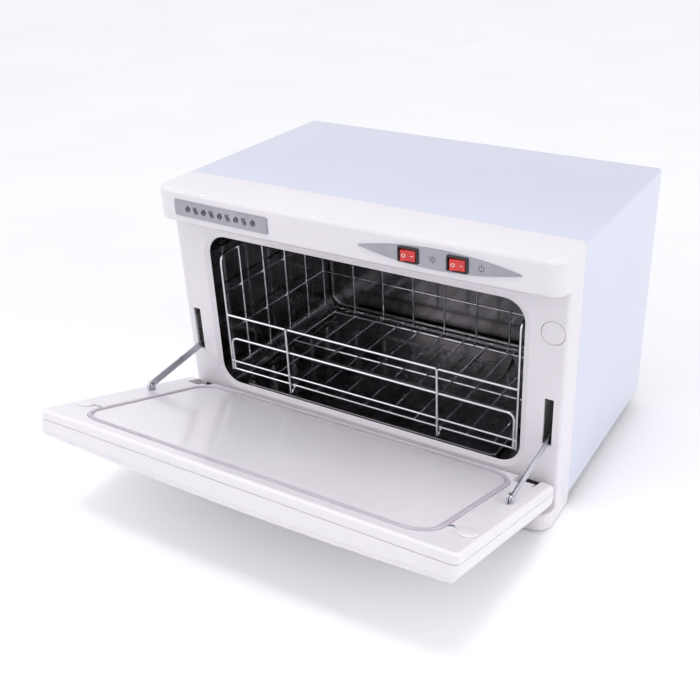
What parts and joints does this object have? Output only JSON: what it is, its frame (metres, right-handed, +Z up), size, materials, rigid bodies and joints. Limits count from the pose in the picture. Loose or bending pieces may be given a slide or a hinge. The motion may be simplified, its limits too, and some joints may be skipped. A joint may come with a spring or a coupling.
{
  "type": "hot towel cabinet",
  "caption": "Tabletop hot towel cabinet with a steel casing, a drop-down door on two stay arms, a wire basket in a metal chamber and rocker switches.",
  "frame": {"origin": "middle of the bounding box's base as the cabinet stands on its feet with its door open", "axes": "+Z up, the door and switches face -Y, +Y runs back to the rear panel, +X is to the right seen from the front"},
  "size_m": [0.45, 0.4925, 0.2869],
  "materials": {
    "painted_steel": "gloss",
    "white_plastic": "satin gloss",
    "galvanised": "dull zinc",
    "liner_metal": "polished, dark reflections",
    "chrome": "bright plated",
    "bright_steel": "bright zinc",
    "silver_plate": "satin silver",
    "black_plastic": "satin",
    "red_lens": "translucent gloss",
    "black_steel": "satin black",
    "black_rubber": "matt",
    "seal_rubber": "translucent satin",
    "glass_wool": "fibrous, matt",
    "heater": "satin",
    "lamp_glass": "clear gloss",
    "ceramic": "satin"
  },
  "bodies": {
    "cabinet": {"base_pan": "galvanised", "basket_back": "chrome", "basket_floor": "chrome", "basket_front": "chrome", "basket_left": "chrome", "basket_right": "chrome", "component_plate": "galvanised", "control_plate": "silver_plate", "cord_gland": "black_plastic", "drip_tray": "liner_metal", "foot_front_left": "black_rubber", "foot_front_right": "black_rubber", "foot_rear_left": "black_rubber", "foot_rear_right": "black_rubber", "front_fascia": "white_plastic", "heating_plate": "heater", "hinge_bracket_left": "black_steel", "hinge_bracket_right": "black_steel", "hinge_pin_left": "bright_steel", "hinge_pin_right": "bright_steel", "inner_liner": "liner_metal", "insulation_jacket": "glass_wool", "lamp_ballast": "galvanised", "lamp_holder_left": "ceramic", "lamp_holder_right": "ceramic", "magnet_catch": "white_plastic", "name_plate": "silver_plate", "outer_casing": "painted_steel", "ozone_switch_body": "black_plastic", "power_switch_body": "black_plastic", "rear_panel": "painted_steel", "rear_screw_1": "bright_steel", "rear_screw_2": "bright_steel", "rear_screw_3": "bright_steel", "rear_screw_4": "bright_steel", "stay_guide_left": "bright_steel", "stay_guide_right": "bright_steel", "terminal_block": "ceramic", "thermostat": "ceramic", "uv_lamp_tube": "lamp_glass"},
    "door": {"door_gasket": "seal_rubber", "door_liner": "white_plastic", "door_screw_left": "bright_steel", "door_screw_right": "bright_steel", "door_shell": "white_plastic", "hinge_knuckle_left": "white_plastic", "hinge_knuckle_right": "white_plastic", "stay_bracket_left": "bright_steel", "stay_bracket_right": "bright_steel", "stay_rivet_left": "bright_steel", "stay_rivet_right": "bright_steel", "strike_pad_left": "white_plastic", "strike_pad_right": "white_plastic"},
    "left_stay": {"stay_arm_left": "bright_steel", "stay_roller_left": "bright_steel"},
    "right_stay": {"stay_arm_right": "bright_steel", "stay_roller_right": "bright_steel"},
    "ozone_rocker": {"ozone_rocker": "red_lens"},
    "power_rocker": {"power_rocker": "red_lens"}
  },
  "joints": [
    {"name": "door_hinge", "type": "hinge", "parent": "cabinet", "child": "door", "pos_m": [0, -0.04211, 0.03887], "axis": [-1, 0, 0], "range_deg": [0, 71.24]},
    {"name": "left_stay_pivot", "type": "hinge", "parent": "door", "child": "left_stay", "pos_m": [-0.2121, -0.10802, 0.0828], "axis": [-1, 0, 0], "range_deg": [-58.25, 0]},
    {"name": "right_stay_pivot", "type": "hinge", "parent": "door", "child": "right_stay", "pos_m": [0.2121, -0.10802, 0.0828], "axis": [-1, 0, 0], "range_deg": [-58.25, 0]},
    {"name": "ozone_switch", "type": "hinge", "parent": "cabinet", "child": "ozone_rocker", "pos_m": [0.07998, -0.04972, 0.2695], "axis": [0, 0, -1], "range_deg": [0, 20]},
    {"name": "power_switch", "type": "hinge", "parent": "cabinet", "child": "power_rocker", "pos_m": [0.12896, -0.04878, 0.2695], "axis": [0, 0, -1], "range_deg": [0, 20]}
  ],
  "couplings": [
    {"joint": "left_stay_pivot", "follows": "door_hinge", "ratio": -0.81752},
    {"joint": "right_stay_pivot", "follows": "door_hinge", "ratio": -0.81752}
  ]
}
